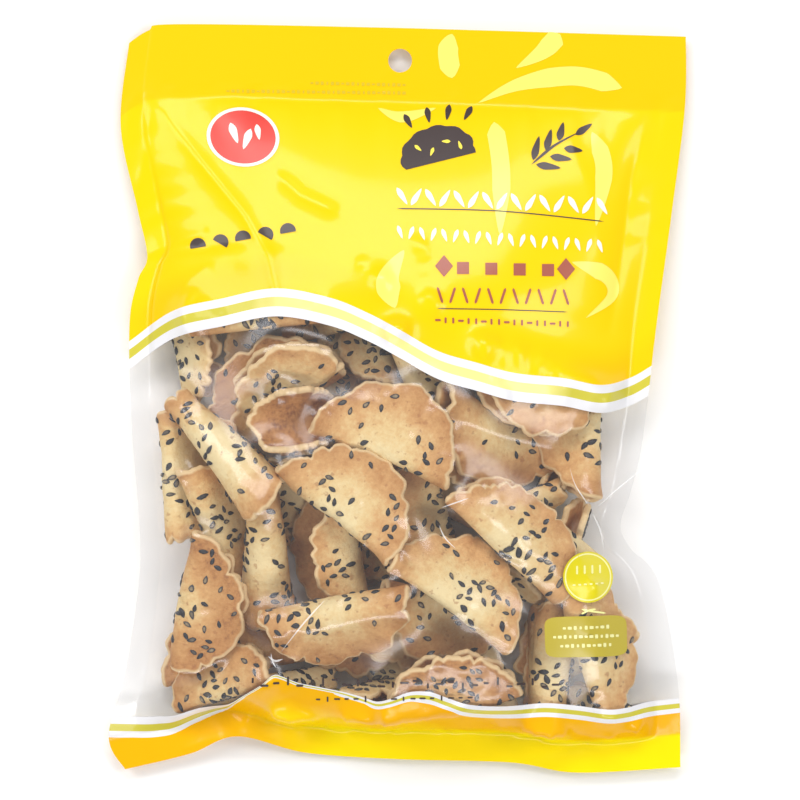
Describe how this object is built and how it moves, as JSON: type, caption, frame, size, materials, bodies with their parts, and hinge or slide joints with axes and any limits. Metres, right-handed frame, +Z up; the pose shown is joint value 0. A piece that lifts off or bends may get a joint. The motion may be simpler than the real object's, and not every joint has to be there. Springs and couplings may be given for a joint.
{
  "type": "bag of sesame crackers",
  "caption": "Sealed pillow bag of folded sesame crackers with a printed header, a hang hole and a clear window, lying on its back.",
  "frame": {"origin": "under the middle of the bag's box, on the surface it lies on", "axes": "+Z up out of the shown face, +Y towards the header with the hang hole, +X to the right as seen from above"},
  "size_m": [0.1944, 0.2521, 0.0465],
  "materials": {
    "printed_film": "glossy",
    "clear_film": "glossy clear",
    "cracker": "baked, matte",
    "sesame_seed": "satin"
  },
  "bodies": {
    "root": {"cracker_bag": "printed_film"}
  },
  "joints": []
}
